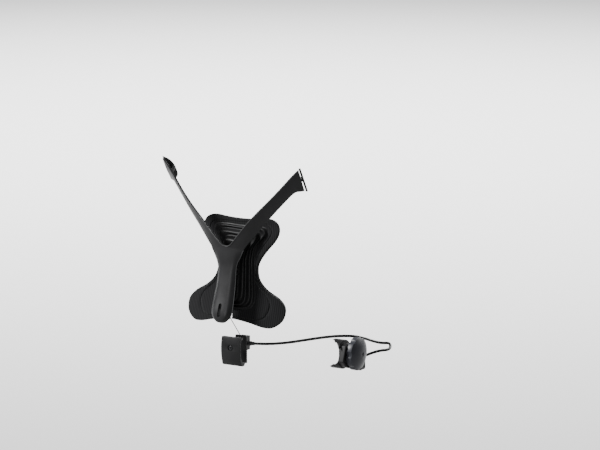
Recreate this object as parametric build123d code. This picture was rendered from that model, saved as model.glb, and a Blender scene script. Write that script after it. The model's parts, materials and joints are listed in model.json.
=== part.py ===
"""Adjustable sacral back support for a mesh task chair.

Millimetres. +X is the sitter's right, +Y points forward to the sitter and +Z up. The origin is the
centre bracket's screw, at the bracket's rear face, on the plane of symmetry of the yoke and the pad.
"""

from build123d import *
import math
import os

# Yoke: half outlines of the rear surface, bottom to top. Each row is (half width, edge y, crown y, z).
STEM_ROWS = [
    (15.0, -30.0, -38.0, 53.0),
    (20.5, -27.8, -37.8, 64.0),
    (20.2, -22.0, -31.5, 83.0),
    (19.2, -15.8, -24.5, 102.0),
    (18.0, -10.4, -18.6, 122.0),
    (17.3, -8.0, -14.4, 144.0),
    (22.5, -7.2, -13.2, 160.0),
    (30.0, -6.6, -13.0, 173.0),
    (41.0, -5.4, -13.4, 187.0),
]
# Arms: (inner edge point, outer edge point), from the root to the tip of the right arm.
ARM_ROWS = [
    ((1.0, -11.4, 173.0), (24.4, -5.2, 160.4)),
    ((9.6, -14.4, 186.5), (30.5, -6.8, 173.0)),
    ((21.3, -15.9, 198.5), (38.5, -6.2, 184.5)),
    ((35.5, -17.0, 213.5), (50.5, -3.6, 199.0)),
    ((50.8, -18.0, 230.0), (64.5, -0.8, 215.5)),
    ((69.0, -16.4, 248.0), (80.8, 1.6, 234.5)),
    ((86.8, -12.2, 266.0), (97.5, 6.8, 253.5)),
    ((103.0, -7.2, 284.0), (112.5, 11.3, 270.5)),
    ((114.4, -3.9, 297.3), (121.3, 14.8, 279.5)),
    ((127.8, -0.8, 312.3), (130.0, 21.5, 280.0)),
    ((137.8, 1.0, 321.5), (135.6, 26.6, 281.8)),
]
WALL = 3.2
ARM_BULGE = 1.2
STEM_FLOOR_Z = 49.8
STEM_NOSE_R = 21.0
SLOT_TOP_Z, SLOT_BOTTOM_Z, SLOT_WIDTH = 84.0, 61.0, 6.0

# Rail shoes at the yoke's tips. The pivot axis runs along X through both shoes.
TIP_Y, TIP_Z = 18.0, 302.0
PIN_R, PIN_CLEAR, PIN_BOSS_R = 1.6, 0.05, 3.9
SHOE_FACE = (137.5, 16.0, 302.0)
SHOE_NORMAL = (0.806, 0.508, 0.305)
SHOE_THICK = 3.5
# The shoe's bowed edge as (forward, up the rail) from its face's middle.
SHOE_BOW = [
    (0.0, -25.0), (5.6, -27.2), (12.4, -24.6), (14.9, -12.0), (13.8, 1.5), (9.4, 13.2), (4.0, 20.6), (0.0, 25.0),
]
FAN_GAP, FAN_GAP_TAPER = 1.15, 48.0
LUG_X0, LUG_X1, LUG_R, LUG_REACH = 122.5, 126.5, 4.6, 11.4

# Pad: half outline as (x, z), from the top centre to the bottom centre.
PAD_OUTLINE = [
    (0.0, 220.5), (30.0, 221.8), (54.0, 224.0), (69.5, 218.5), (75.5, 205.0), (69.0, 188.0),
    (52.5, 168.0), (41.5, 150.0), (39.5, 136.0), (45.0, 118.0), (62.0, 101.5), (84.0, 89.0),
    (96.5, 74.0), (95.0, 55.0), (80.0, 42.0), (62.0, 41.0), (34.0, 47.0), (0.0, 51.0),
]
PAD_TOP_Z, PAD_LOW_Z = 221.0, 51.0
PAD_LOW_Y, PAD_LEAN, PAD_BELLY = 3.1, 0.2147, 3.0
LOBE_SWEEP_LOW, LOBE_SWEEP_TOP = 0.0014, 0.0002
FLANGE, CUSHION = 2.6, 9.0
# The carrier's spine: half outline as (x, z), from its top centre to its bottom centre.
SPINE_OUTLINE = [
    (0.0, 208.0), (28.0, 209.0), (46.0, 207.5), (52.5, 201.0), (47.0, 192.0), (38.5, 183.0), (32.8, 173.0),
    (30.8, 157.0), (33.0, 136.0), (36.2, 112.0), (39.2, 92.0), (38.6, 80.5), (32.5, 72.5), (20.0, 70.0),
    (0.0, 70.0),
]
SPINE_TOP_Z, SPINE_LOW_Z = 208.0, 70.0
# The spine's steps: (share of its outline's width, low z, high z, height behind the flange).
TIERS = [(1.0, 70.0, 208.0, 4.6), (0.73, 76.5, 202.0, 11.0), (0.44, 85.0, 194.0, 18.0)]
# A step's walls: behind, at its sides as a share of the spine's width, and at its ends.
TIER_WALL, TIER_SIDE, TIER_END = 2.6, 0.075, 3.5
WIRE_NOTCH_HALF, WIRE_NOTCH_Z = 4.0, 78.0
ROCK_Y, ROCK_Z, ROCK_PIN_R = -1.0, 136.0, 2.5
EAR_X0, EAR_X1, EAR_R = 12.0, 15.5, 6.5

# Centre bracket on the chair's lower crossbar.
BRACKET_HALF = 18.6
BRACKET_WALL = 4.0
SCREW_HEAD_R, SCREW_RECESS_R, SCREW_R = 3.6, 5.2, 2.0
BAR_DEPTH = 30.0

# Pull wire, from the nipple in the stem to the mouth of the front guide.
NIPPLE = (0.0, -22.5, 79.0)
MOUTH = (0.0, 39.0, 10.0)
WIRE_R = 0.7
WIRE_INSIDE = 5.0

# Actuator on the chair's tilt boss.
BOSS_Y, BOSS_Z, BOSS_R = 56.0, 0.0, 19.0
SADDLE_X0, SADDLE_X1, SADDLE_R = 174.0, 193.5, 25.0
LINER = 1.5
DIAL_Y, DIAL_Z, DIAL_R = 71.0, 0.0, 28.4
DIAL_X0, DIAL_RIM_X1, DIAL_TOP_X = 204.5, 213.5, 221.0
DIAL_SCALLOPS, SCALLOP_R, SCALLOP_DEEP = 7, 11.0, 1.8
COVER_X0, CASE_X0, CASE_X1, CASE_WALL = 193.5, 195.5, 203.5, 2.4
CASE_OUTLINE = [
    (40.0, 9.0), (43.0, 17.0), (52.0, 20.5), (62.0, 15.5), (78.0, 15.0), (90.0, 6.0), (97.0, -3.5),
    (113.5, -5.0), (113.5, -35.5), (96.0, -35.5), (84.0, -28.0), (60.0, -24.5), (44.0, -19.0), (33.0, -9.0),
]
CASE_SCREWS = [(107.0, -29.5), (92.0, -27.0), (57.5, -16.0)]
CASE_SCREW_R, CASE_SCREW_HEAD_R, CASE_BOSS_R = 1.5, 2.8, 4.2
SPINDLE_R, SPOOL_R, SPOOL_GROOVE_R, DIAL_SCREW_R = 4.0, 9.0, 5.45, 1.5
SHEATH_R = 2.4

# The sheath's route: the corners of its path, from the front guide to the actuator's case.
SHEATH_ROUTE = [
    (20.0, 47.0, 1.0), (46.0, 48.0, 2.5), (84.0, 56.0, 8.0), (119.0, 73.0, 15.0), (150.0, 91.0, 20.0),
    (180.0, 110.0, 20.5), (190.0, 136.0, 12.0), (189.0, 159.0, 3.5), (199.0, 177.5, -3.5),
    (216.5, 180.0, -1.5), (224.5, 163.5, -9.5), (216.0, 144.0, -8.0), (204.5, 131.0, -11.5),
    (199.5, 116.0, -14.0),
]
SHEATH_CORNER = 0.45
FERRULE_R, FERRULE_LONG = 3.2, 12.0


# ---------------------------------------------------------------- small helpers
def along_x(radius, x0, x1, y, z):
    """A round bar parallel to X."""
    return Plane(origin=(x0, y, z), z_dir=(1, 0, 0)) * extrude(Circle(radius), x1 - x0)


def along_y(radius, y0, y1, x, z):
    """A round bar parallel to Y."""
    return Plane(origin=(x, y0, z), z_dir=(0, 1, 0)) * extrude(Circle(radius), y1 - y0)


def bar(radius, start, end):
    """A round bar from one point to another."""
    span = Vector(*end) - Vector(*start)
    return Plane(origin=start, z_dir=span) * extrude(Circle(radius), span.length)


def block(low, high):
    """A box between its lowest and highest corners."""
    size = [b - a for a, b in zip(low, high)]
    middle = [(a + b) / 2 for a, b in zip(low, high)]
    return Pos(*middle) * Box(*size)


def side_plate(points, x0, x1):
    """A plate with an outline in (y, z), from x0 to x1."""
    corners = [Vector(x0, y, z) for y, z in points]
    return extrude(make_face(Polyline(*corners, close=True)), x1 - x0, dir=(1, 0, 0))


def mirrored(solid):
    return solid.mirror(Plane.YZ)


def blend_edges(solid, radius, keep):
    """Round the edges that keep() picks; leave the solid as it is where they can't be rounded."""
    try:
        return fillet([e for e in solid.edges() if keep(e)], radius)
    except (ValueError, RuntimeError):
        return solid


# ---------------------------------------------------------------- yoke
def stem_section(half, edge_y, crown_y, z):
    """The stem's arch at one height: a thin wall, open to the front."""
    inner = half - WALL
    outside = ThreePointArc((-half, edge_y, z), (0, crown_y, z), (half, edge_y, z))
    inside = ThreePointArc((inner, edge_y, z), (0, crown_y + WALL, z), (-inner, edge_y, z))
    rims = [Line((half, edge_y, z), (inner, edge_y, z)), Line((-inner, edge_y, z), (-half, edge_y, z))]
    return make_face(Wire([outside, rims[0], inside, rims[1]]))


def blade_section(inner, outer, ahead):
    """A blade's thin, slightly bowed section between its two edges."""
    a, b = Vector(*inner), Vector(*outer)
    across = (b - a).normalized()
    half = (b - a).length / 2
    heading = (ahead - across * ahead.dot(across)).normalized()
    place = Plane(origin=(a + b) * 0.5, x_dir=across, z_dir=heading)
    rear = ThreePointArc((-half, 0), (0, -ARM_BULGE), (half, 0))
    front = ThreePointArc((half, WALL), (0, WALL - ARM_BULGE), (-half, WALL))
    ends = [Line((half, 0), (half, WALL)), Line((-half, WALL), (-half, 0))]
    return place * make_face(Wire([rear, ends[0], front, ends[1]]))


def arm():
    """The right arm, a blade that twists as it climbs and fans out at its tip."""
    middles = [(Vector(*i) + Vector(*o)) * 0.5 for i, o in ARM_ROWS]
    faces = []
    for k, (inner, outer) in enumerate(ARM_ROWS):
        low, high = max(k - 1, 0), min(k + 1, len(ARM_ROWS) - 1)
        faces.append(blade_section(inner, outer, middles[high] - middles[low]))
    return loft(faces)


def tip_lug():
    """The lug behind the right fan that carries the tip's pin."""
    lean = math.atan2(-0.543, -0.84)
    across = Plane(origin=(LUG_X0, TIP_Y, TIP_Z), x_dir=(0, math.cos(lean), math.sin(lean)), z_dir=(1, 0, 0))
    neck = Pos(LUG_REACH / 2, 0) * Rectangle(LUG_REACH, 2 * LUG_R)
    return across * extrude(neck + Circle(LUG_R), LUG_X1 - LUG_X0)


def notch():
    """The rounded V between the arms, as the solid that cuts it."""
    radius, centre_z, slope = 7.0, 187.0, 1.0714
    lean = math.atan(slope)
    touch = (radius * math.sin(lean), centre_z - radius * math.cos(lean))
    rise = 60.0
    wedge = [
        touch, (touch[0] + rise / slope, touch[1] + rise),
        (-touch[0] - rise / slope, touch[1] + rise), (-touch[0], touch[1]),
    ]
    outline = make_face(Polyline(*wedge, close=True)) + Pos(0, centre_z) * Circle(radius)
    return Plane(origin=(0, 20, 0), x_dir=(1, 0, 0), z_dir=(0, -1, 0)) * extrude(outline, 60)


def shoe_plane(depth):
    """The right shoe's outer face, moved inwards by depth. Local x runs forward, local y up the rail."""
    normal = Vector(*SHOE_NORMAL).normalized()
    rail = Vector(0, -0.515, 0.857).normalized()
    return Plane(origin=Vector(*SHOE_FACE) - normal * depth, x_dir=rail.cross(normal), z_dir=normal)


def shoe_outline():
    """The D of a shoe: straight at the rear, bowed forward and fullest low down."""
    straight = Line(SHOE_BOW[-1], SHOE_BOW[0])
    return make_face(Wire([Spline(*SHOE_BOW), straight]))


def fan_end():
    """Everything beyond the end of the right fan: a plane near the shoe's, further from it lower down."""
    shoe = shoe_plane(SHOE_THICK + FAN_GAP)
    tilted = shoe.z_dir - shoe.y_dir * (1 / FAN_GAP_TAPER)
    return Plane(origin=shoe.origin, x_dir=shoe.x_dir, z_dir=tilted) * extrude(Rectangle(160, 160), 40)


def tip_shoe():
    """The right rail shoe: a D-shaped plate with a boss for the tip's pin."""
    plate = shoe_plane(SHOE_THICK) * extrude(shoe_outline(), SHOE_THICK)
    boss = along_x(PIN_BOSS_R, LUG_X1 + 0.5, 140, TIP_Y, TIP_Z)
    beyond = shoe_plane(SHOE_THICK / 2) * extrude(Rectangle(120, 120), 40)
    bore = along_x(PIN_R + PIN_CLEAR, LUG_X1, LUG_X1 + 5.5, TIP_Y, TIP_Z)
    return plate + (boss - beyond) - bore


def yoke_frame():
    rows = [stem_section(*row) for row in STEM_ROWS]
    stem = loft(rows)
    nose = Pos(0, STEM_FLOOR_Z + STEM_NOSE_R) * Circle(STEM_NOSE_R)
    nose += Pos(0, STEM_FLOOR_Z + STEM_NOSE_R + 80) * Rectangle(120, 160)
    stem &= Plane(origin=(0, 20, 0), x_dir=(1, 0, 0), z_dir=(0, -1, 0)) * extrude(nose, 80)
    right = arm() + tip_lug()
    right -= fan_end()
    right -= along_x(PIN_R, LUG_X0 - 1, LUG_X1 + 1, TIP_Y, TIP_Z)
    frame = stem + right + mirrored(right) - notch()
    slot_long = SLOT_TOP_Z - SLOT_BOTTOM_Z
    slot = Pos(0, (SLOT_TOP_Z + SLOT_BOTTOM_Z) / 2) * SlotOverall(slot_long, SLOT_WIDTH, rotation=90)
    frame -= Plane(origin=(0, -20, 0), x_dir=(1, 0, 0), z_dir=(0, -1, 0)) * extrude(slot, 30)
    for side in (-1, 1):
        x0, x1 = sorted((side * EAR_X0, side * EAR_X1))
        ear = along_x(EAR_R, x0, x1, ROCK_Y, ROCK_Z)
        ear += block((x0, -9.8, ROCK_Z - EAR_R), (x1, ROCK_Y, ROCK_Z + EAR_R))
        frame += ear - along_x(ROCK_PIN_R, x0, x1, ROCK_Y, ROCK_Z)
    return frame


def stem_anchor(frame):
    """The seat behind the slot that holds the wire's nipple."""
    x, y, z = NIPPLE
    seat = block((x - 7, y - 9, z - 6), (x + 7, y + 5, z + 7))
    seat -= block((x - SLOT_WIDTH / 2, y - 9, z - 6), (x + SLOT_WIDTH / 2, y - 6, z + 7))
    seat -= along_x(3.05, x - 4.7, x + 4.7, y, z)
    seat -= block((x - 1.6, y, z - 8), (x + 1.6, y + 8, z + 1))
    return (seat - frame).solids().sort_by(SortBy.VOLUME)[-1]


def bumpers(frame):
    """Two rubber posts on the stem that stop the pad's rocking."""
    posts = [(170.0, 9.3), (101.0, -5.9)]
    out = []
    for z, tip_y in posts:
        post = along_y(4.5, -30, tip_y, 0, z) - frame
        out.append(post.solids().sort_by(Axis.Y)[-1])
    return Compound(out)


# ---------------------------------------------------------------- pad
def pad_y(x, z):
    """Where the rear face of the carrier's flange lies."""
    middle, half = (PAD_TOP_Z + PAD_LOW_Z) / 2, (PAD_TOP_Z - PAD_LOW_Z) / 2
    lean = PAD_LOW_Y + PAD_LEAN * (z - PAD_LOW_Z)
    belly = PAD_BELLY * (1 - ((z - middle) / half) ** 2)
    share = min(max((z - 95.0) / 105.0, 0.0), 1.0)
    sweep = LOBE_SWEEP_LOW + (LOBE_SWEEP_TOP - LOBE_SWEEP_LOW) * share
    return lean + belly + sweep * x * x


def pad_sheet(behind, thick):
    """A curved slab whose rear face is the flange's, moved back by behind."""
    xs = [-112 + 14 * i for i in range(17)]
    zs = [25 + 15 * i for i in range(15)]
    grid = [[Vector(x, pad_y(x, z) - behind, z) for z in zs] for x in xs]
    return extrude(Face.make_surface_from_array_of_points(grid), thick, dir=(0, 1, 0))


def prism(half):
    """A long prism along Y with a symmetric outline, from its right half as (x, z)."""
    right = Spline(*half, tangents=[(1, 0), (-1, 0)])
    left = Spline(*[(-x, z) for x, z in reversed(half)], tangents=[(-1, 0), (1, 0)])
    outline = make_face(Wire([right, left]))
    return Plane(origin=(0, 90, 0), x_dir=(1, 0, 0), z_dir=(0, -1, 0)) * extrude(outline, 150)


def spine_prism(share, low, high):
    """The spine's outline, made narrower by share and fitted between two heights, as a long prism."""
    stretch = (high - low) / (SPINE_TOP_Z - SPINE_LOW_Z)
    return prism([(x * share, low + (z - SPINE_LOW_Z) * stretch) for x, z in SPINE_OUTLINE])


def wire_notch():
    """The slot at the pad's lower edge that the wire passes through."""
    top = Pos(0, WIRE_NOTCH_Z - WIRE_NOTCH_HALF) * Circle(WIRE_NOTCH_HALF)
    legs = Pos(0, WIRE_NOTCH_Z - WIRE_NOTCH_HALF - 25) * Rectangle(2 * WIRE_NOTCH_HALF, 50)
    return Plane(origin=(0, 90, 0), x_dir=(1, 0, 0), z_dir=(0, -1, 0)) * extrude(top + legs, 150)


BARREL_R, BARREL_HALF = 5.5, EAR_X0 - 0.6
BUSH_R, BUSH_LONG = 3.6, 7.0


def pad_carrier():
    """The moulded carrier: a thin butterfly flange with a hollow, stepped spine behind it."""
    carrier = prism(PAD_OUTLINE) & pad_sheet(0, FLANGE)
    for share, low, high, height in TIERS:
        carrier += spine_prism(share, low, high) & pad_sheet(height, height + FLANGE / 2)
    for share, low, high, height in TIERS:
        depth = height - TIER_WALL
        hollow = spine_prism(share - TIER_SIDE, low + TIER_END, high - TIER_END)
        carrier -= hollow & pad_sheet(depth, depth + FLANGE + 1)
    top_y = pad_y(0, ROCK_Z) - TIERS[-1][3]
    barrel = along_x(BARREL_R, -BARREL_HALF, BARREL_HALF, ROCK_Y, ROCK_Z)
    barrel += block(
        (-BARREL_HALF, ROCK_Y, ROCK_Z - BARREL_R), (BARREL_HALF, top_y + TIER_WALL, ROCK_Z + BARREL_R)
    )
    carrier += barrel
    carrier -= along_x(ROCK_PIN_R + 0.5, -EAR_X0, EAR_X0, ROCK_Y, ROCK_Z)
    carrier -= rock_bushings(0)
    return carrier - wire_notch()


def rock_bushings(bore):
    """The two plastic sleeves in the ends of the carrier's barrel."""
    out = []
    for x0, x1 in ((-BARREL_HALF, -BARREL_HALF + BUSH_LONG), (BARREL_HALF - BUSH_LONG, BARREL_HALF)):
        sleeve = along_x(BUSH_R, x0, x1, ROCK_Y, ROCK_Z)
        out.append(sleeve - along_x(bore, x0, x1, ROCK_Y, ROCK_Z) if bore else sleeve)
    return Compound(out)


def pad_cushion():
    return (prism(PAD_OUTLINE) & pad_sheet(-FLANGE, CUSHION)) - wire_notch()


# ---------------------------------------------------------------- centre bracket and front guide
def centre_bracket():
    """The C that wraps the crossbar from behind: a bowed wall, a top lip and a thick bottom hook."""
    x = -BRACKET_HALF
    wall_out = ThreePointArc((x, 3, 18.5), (x, 0, 2), (x, 3.2, -25))
    corner = ThreePointArc((x, 3.2, -25), (x, 5.2, -30.4), (x, 10, -32.6))
    wall_in = ThreePointArc((x, 8.6, -25.5), (x, BRACKET_WALL, 0), (x, 6.8, 13.6))
    points = [(10, -32.6), (16, -32.6), (19.5, -28.2), (19, -26.6), (9.8, -26.6), (8.6, -25.5)]
    hook = Polyline(*[(x, y, z) for y, z in points])
    lip = Polyline(*[(x, y, z) for y, z in [(6.8, 13.6), (11.5, 14.6), (11.5, 17.6), (3, 18.5)]])
    profile = make_face(Wire([wall_out, corner] + hook.edges() + [wall_in] + lip.edges()))
    body = extrude(profile, 2 * BRACKET_HALF, dir=(1, 0, 0))
    body = blend_edges(body, 1.2, lambda e: abs(e.center().X) > BRACKET_HALF - 0.01 and e.length > 20)
    body -= along_y(SCREW_RECESS_R, -5, 2.2, 0, 0)
    return body - along_y(SCREW_R, -5, 20, 0, 0)


def centre_screw():
    """A pan-head screw with a cross recess, seated in the bracket's recess."""
    head = along_y(SCREW_HEAD_R, 0.6, 2.2, 0, 0)
    head = blend_edges(head, 0.6, lambda e: e.center().Y < 0.7)
    cross = block((-2.2, 0, -0.35), (2.2, 1.5, 0.35)) + block((-0.35, 0, -2.2), (0.35, 1.5, 2.2))
    return head + along_y(SCREW_R - 0.02, 2.2, 14, 0, 0) - cross


GUIDE_Y0, GUIDE_Y1, GUIDE_HALF = BAR_DEPTH + BRACKET_WALL + 0.5, 55.0, 8.0


def bracket_clip():
    """The front half of the centre clamp: a leg under the crossbar and the wire's guide in front."""
    plate = block((-11, GUIDE_Y0, -32.6), (11, GUIDE_Y0 + 4, 16))
    leg = block((-6, 19.8, -32.6), (6, GUIDE_Y0, -28.6))
    guide = block((-GUIDE_HALF, GUIDE_Y0, -11.5), (GUIDE_HALF, GUIDE_Y1, 13))
    guide = blend_edges(guide, 2.5, lambda e: e.center().Y > GUIDE_Y1 - 0.1)
    body = plate + leg + guide
    body = blend_edges(body, 1.5, lambda e: abs(e.center().Z - 16) < 0.1 and e.length < 5)
    fan = [(30.0, 19.0), (41.8, 17.0), (43.5, 12.0), (47.6, 4.5), (52.5, -4.5), (48.5, -8.5), (36.5, 5.0)]
    body -= side_plate(fan, -1.5, 1.5)
    return body - along_x(WIRE_R + 0.4, 0, GUIDE_HALF + 1, 47, 1)


def pull_wire(nipple):
    start, mouth = Vector(*NIPPLE), Vector(*MOUTH)
    along = (mouth - start).normalized()
    end = mouth + along * WIRE_INSIDE
    return bar(WIRE_R, tuple(start), tuple(end)) - nipple


def wire_nipple():
    x, y, z = NIPPLE
    return chamfer(along_x(3.0, x - 4.5, x + 4.5, y, z).edges(), 0.4)


# ---------------------------------------------------------------- sheath
def sheath_corners():
    """The radius at each corner of the route: as large as its two runs allow."""
    points = [Vector(*p) for p in SHEATH_ROUTE]
    radii = []
    for before, here, after in zip(points, points[1:], points[2:]):
        turn = math.radians((here - before).get_angle(after - here))
        radii.append(SHEATH_CORNER * min((here - before).length, (after - here).length) / math.tan(turn / 2))
    return radii


def cable_sheath():
    radii = sheath_corners()
    print("sheath radii", [round(r, 1) for r in radii])
    path = FilletPolyline(*SHEATH_ROUTE, radius=radii)
    print("sheath length", round(path.length, 1))
    start = Vector(*SHEATH_ROUTE[1]) - Vector(*SHEATH_ROUTE[0])
    ring = Plane(origin=SHEATH_ROUTE[0], z_dir=start) * Circle(SHEATH_R)
    tube = sweep(ring, path=path)
    print("sheath volume over section times length", round(tube.volume / (ring.area * path.length), 4))
    return tube


def ferrule(end, towards, long):
    """A cap on the sheath's end, with a lip, from the end point back into its housing."""
    back = (Vector(*end) - Vector(*towards)).normalized()
    tip = Vector(*end) + back * long
    cap = bar(FERRULE_R, end, tuple(tip))
    lip_start = Vector(*end) + back * (long * 0.45)
    lip_end = Vector(*end) + back * (long * 0.45 + 1.6)
    return cap + bar(FERRULE_R + 1.0, tuple(lip_start), tuple(lip_end))


# ---------------------------------------------------------------- actuator
# The scoop that opens the saddle to the rear: a round cut parallel to Y.
SCOOP_R, SCOOP_X, SCOOP_Z, SCOOP_WALL_Y = 21.5, 175.0, 2.5, 42.0


def arc_band(inner, outer, start, end, x0, x1):
    """A ring's sector round the boss, angles in degrees from +Y through +Z."""
    ring = Circle(outer) - Circle(inner)
    steps = 12
    far = 60.0
    angles = [math.radians(start + (end - start) * i / steps) for i in range(steps + 1)]
    sector = [(0, 0)] + [(far * math.cos(a), far * math.sin(a)) for a in angles]
    piece = ring & make_face(Polyline(*sector, close=True))
    place = Plane(origin=(x0, BOSS_Y, BOSS_Z), x_dir=(0, 1, 0), z_dir=(1, 0, 0))
    return place * extrude(piece, x1 - x0)


def actuator_saddle():
    """The cup that grips the boss, scooped open to the rear, with a longer lip below."""
    band = along_x(SADDLE_R, SADDLE_X0, SADDLE_X1, BOSS_Y, BOSS_Z)
    band -= along_x(BOSS_R + LINER, SADDLE_X0 - 1, SADDLE_X1 + 1, BOSS_Y, BOSS_Z)
    band -= along_y(SCOOP_R, 0, BOSS_Y, SCOOP_X, SCOOP_Z)
    wall = along_x(SADDLE_R, SADDLE_X1 - 3.0, SADDLE_X1, BOSS_Y, BOSS_Z)
    wall -= along_y(SCOOP_R, 0, SCOOP_WALL_Y, SCOOP_X, SCOOP_Z)
    return band + wall


def saddle_liner():
    """The rubber strip between the saddle and the boss."""
    return arc_band(BOSS_R, BOSS_R + LINER, -118, 96, SADDLE_X0 + 1.5, SADDLE_X1 - 5.0)


SADDLE_SCREWS = [(BOSS_Y - 7, -8), (BOSS_Y + 7, -8)]


def saddle_screws():
    """Two screws from inside the saddle's end wall into the case's cover."""
    wall_x = SADDLE_X1 - 3.0
    out = []
    for y, z in SADDLE_SCREWS:
        head = along_x(2.8, wall_x - 1.8, wall_x, y, z) - along_x(1.2, wall_x - 2, wall_x - 0.8, y, z)
        out.append(head + along_x(CASE_SCREW_R, wall_x, COVER_X0 + 1.6, y, z))
    return Compound(out)


def case_profile(inset=0.0):
    """The case's outline, corners rounded."""
    outline = make_face(Polyline(*CASE_OUTLINE, close=True))
    outline = fillet(outline.vertices(), 3.0)
    return offset(outline, -inset) if inset else outline


def case_solid(profile, x0, x1):
    return Plane(origin=(x0, 0, 0), x_dir=(0, 1, 0), z_dir=(1, 0, 0)) * extrude(profile, x1 - x0)


def actuator_case(ferrule_cap):
    """The drum housing: a deep tray, open towards the saddle, with the cable's snout in front."""
    case = case_solid(case_profile(), CASE_X0, CASE_X1)
    case = blend_edges(case, 1.2, lambda e: e.center().X > CASE_X1 - 0.01)
    case -= case_solid(case_profile(CASE_WALL), CASE_X0, CASE_X1 - CASE_WALL)
    for y, z in CASE_SCREWS:
        case += along_x(CASE_BOSS_R, CASE_X0, CASE_X1 - 1, y, z) & case_solid(case_profile(), CASE_X0, CASE_X1)
        case -= along_x(CASE_SCREW_R, CASE_X0 - 1, CASE_X1 + 1, y, z)
        case -= along_x(CASE_SCREW_HEAD_R, CASE_X1 - 1.6, CASE_X1 + 1, y, z)
    case -= along_x(SPINDLE_R + PIN_CLEAR, CASE_X0, CASE_X1 + 1, DIAL_Y, DIAL_Z)
    return case - ferrule_cap


def case_cover():
    """The inner plate that closes the case and sits on the saddle."""
    cover = case_solid(case_profile(), COVER_X0, CASE_X0)
    for y, z in CASE_SCREWS:
        cover -= along_x(CASE_SCREW_R, COVER_X0 - 1, CASE_X0 + 1, y, z)
    for y, z in SADDLE_SCREWS:
        cover -= along_x(1.5, COVER_X0 - 1, COVER_X0 + 1.6, y, z)
    return cover


def case_screws():
    """Three pan heads sunk in the case's outer face."""
    out = []
    for y, z in CASE_SCREWS:
        head = along_x(CASE_SCREW_HEAD_R - 0.1, CASE_X1 - 1.6, CASE_X1 - 0.2, y, z)
        head -= along_x(1.3, CASE_X1 - 1.0, CASE_X1, y, z)
        out.append(head + along_x(CASE_SCREW_R, COVER_X0 + 0.2, CASE_X1 - 1.6, y, z))
    return Compound(out)


def spindle():
    rod = along_x(SPINDLE_R, CASE_X0 + 0.2, DIAL_TOP_X - 3.0, DIAL_Y, DIAL_Z)
    groove_x = CASE_X1 - CASE_WALL - 1.3
    ring = along_x(SPINDLE_R + 1, groove_x, groove_x + 1.0, DIAL_Y, DIAL_Z)
    ring -= along_x(SPINDLE_R - 0.8, groove_x, groove_x + 1.0, DIAL_Y, DIAL_Z)
    rod -= along_x(DIAL_SCREW_R, DIAL_TOP_X - 9.0, DIAL_TOP_X, DIAL_Y, DIAL_Z)
    return rod - ring


def retaining_clip():
    """The C-clip in the spindle's groove, inside the case's outer wall."""
    groove_x = CASE_X1 - CASE_WALL - 1.3
    clip = along_x(SPINDLE_R + 2.8, groove_x + 0.05, groove_x + 0.95, DIAL_Y, DIAL_Z)
    clip -= along_x(SPINDLE_R - 0.8, groove_x, groove_x + 1.0, DIAL_Y, DIAL_Z)
    mouth = block((groove_x, DIAL_Y - 2.4, DIAL_Z), (groove_x + 1, DIAL_Y + 2.4, DIAL_Z + 8))
    return clip - mouth


def cable_spool():
    """The wire's drum: two flanges and a groove, with detent notches round the inner flange."""
    x0, x1 = CASE_X0 + 0.4, CASE_X1 - CASE_WALL - 1.6
    spool = along_x(SPOOL_R, x0, x1, DIAL_Y, DIAL_Z)
    groove = along_x(SPOOL_R + 1, x0 + 1.3, x1 - 0.8, DIAL_Y, DIAL_Z)
    spool -= groove - along_x(SPOOL_GROOVE_R, x0, x1, DIAL_Y, DIAL_Z)
    notches = 24
    for k in range(notches):
        turn = 2 * math.pi * k / notches
        y, z = DIAL_Y + SPOOL_R * math.cos(turn), DIAL_Z + SPOOL_R * math.sin(turn)
        spool -= along_x(0.7, x0 - 1, x0 + 1.3, y, z)
    return spool - along_x(SPINDLE_R, x0, x1, DIAL_Y, DIAL_Z)


def detent_spring():
    """The leaf under the spool that rides on its notches."""
    x0, x1 = CASE_X0 + 0.5, CASE_X0 + 1.5
    leaf = Plane(origin=(x0, DIAL_Y, DIAL_Z), x_dir=(0, 1, 0), z_dir=(1, 0, 0))
    ring = Circle(SPOOL_R + 1.1) - Circle(SPOOL_R + 0.4)
    lower = Pos(0, -SPOOL_R) * Rectangle(2 * SPOOL_R, SPOOL_R)
    foot = Pos(SPOOL_R * 0.866 + 3.2, -SPOOL_R / 2 - 1.4) * Rectangle(5.0, 2.2)
    return leaf * extrude((ring & lower) + foot, x1 - x0)


def dial_knob():
    """The domed dial, scalloped round its rim and hollow behind."""
    edge = Polyline((DIAL_RIM_X1, DIAL_R), (DIAL_X0, DIAL_R), (DIAL_X0, 0), (DIAL_TOP_X, 0))
    crown = Spline((DIAL_TOP_X, 0), (DIAL_RIM_X1, DIAL_R), tangents=[(0, 1), (-0.55, 1)])
    half = Plane(origin=(0, DIAL_Y, DIAL_Z)) * make_face(Wire(edge.edges() + [crown]))
    knob = revolve(half, axis=Axis((0, DIAL_Y, DIAL_Z), (1, 0, 0)))
    for k in range(DIAL_SCALLOPS):
        turn = math.radians(20) + 2 * math.pi * k / DIAL_SCALLOPS
        far = DIAL_R + SCALLOP_R - SCALLOP_DEEP
        y, z = DIAL_Y + far * math.cos(turn), DIAL_Z + far * math.sin(turn)
        knob -= along_x(SCALLOP_R, DIAL_X0 - 1, DIAL_TOP_X, y, z)
    hollow = along_x(DIAL_R - 4.0, DIAL_X0, DIAL_RIM_X1 - 2.0, DIAL_Y, DIAL_Z)
    knob -= hollow - along_x(SPINDLE_R + 3.5, DIAL_X0, DIAL_RIM_X1, DIAL_Y, DIAL_Z)
    knob -= along_x(SPINDLE_R, DIAL_X0 - 1, DIAL_TOP_X - 3.0, DIAL_Y, DIAL_Z)
    knob -= along_x(3.6, DIAL_TOP_X - 2.4, DIAL_TOP_X + 1, DIAL_Y, DIAL_Z)
    return knob - along_x(DIAL_SCREW_R, DIAL_TOP_X - 4, DIAL_TOP_X, DIAL_Y, DIAL_Z)


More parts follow.
